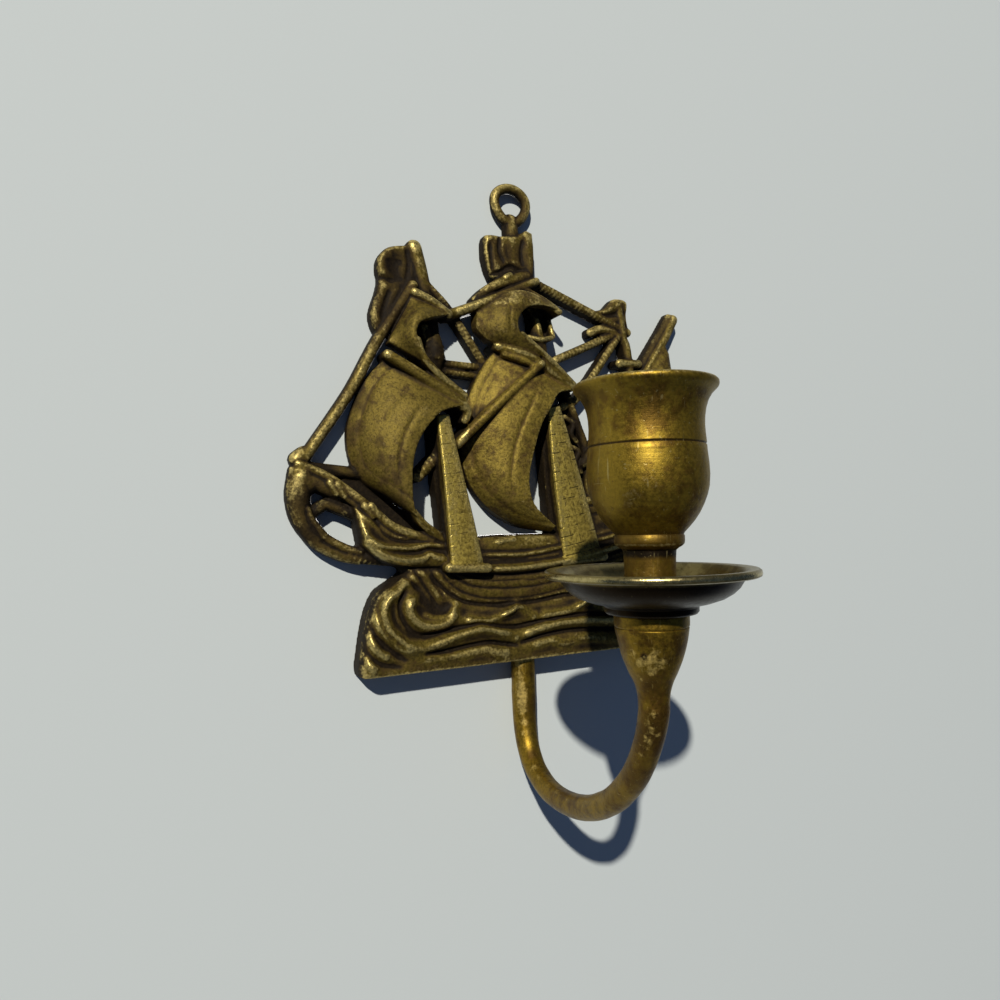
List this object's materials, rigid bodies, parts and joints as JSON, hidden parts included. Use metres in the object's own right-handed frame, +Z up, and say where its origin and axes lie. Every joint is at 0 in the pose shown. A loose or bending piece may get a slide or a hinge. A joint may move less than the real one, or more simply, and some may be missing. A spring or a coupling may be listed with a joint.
{
  "type": "wall plaque candle holder",
  "caption": "Openwork cast brass sailing-ship wall plaque with a hanging ring, a hooked arm, a round drip pan and a flared cup that holds a candle out from the wall.",
  "frame": {"origin": "on the plaque's flat back, behind the hull, straight below the hanging ring and 20 mm above the plaque's lower edge", "axes": "+Z up, +Y out of the back into the wall, +X to the right seen from the front; the cup stands out towards -Y"},
  "size_m": [0.1463, 0.1047, 0.2009],
  "materials": {
    "plaque_brass": "cast, aged, dark patina in the hollows, rubbed ridges",
    "arm_brass": "cast, worn, mottled brown stains and scratches",
    "pan_brass": "turned, worn, dark underneath",
    "cup_brass": "turned, worn, brown-gold with scratches"
  },
  "bodies": {
    "root": {"plaque": "plaque_brass", "arm": "arm_brass", "drip_pan": "pan_brass", "candle_cup": "cup_brass"}
  },
  "joints": []
}
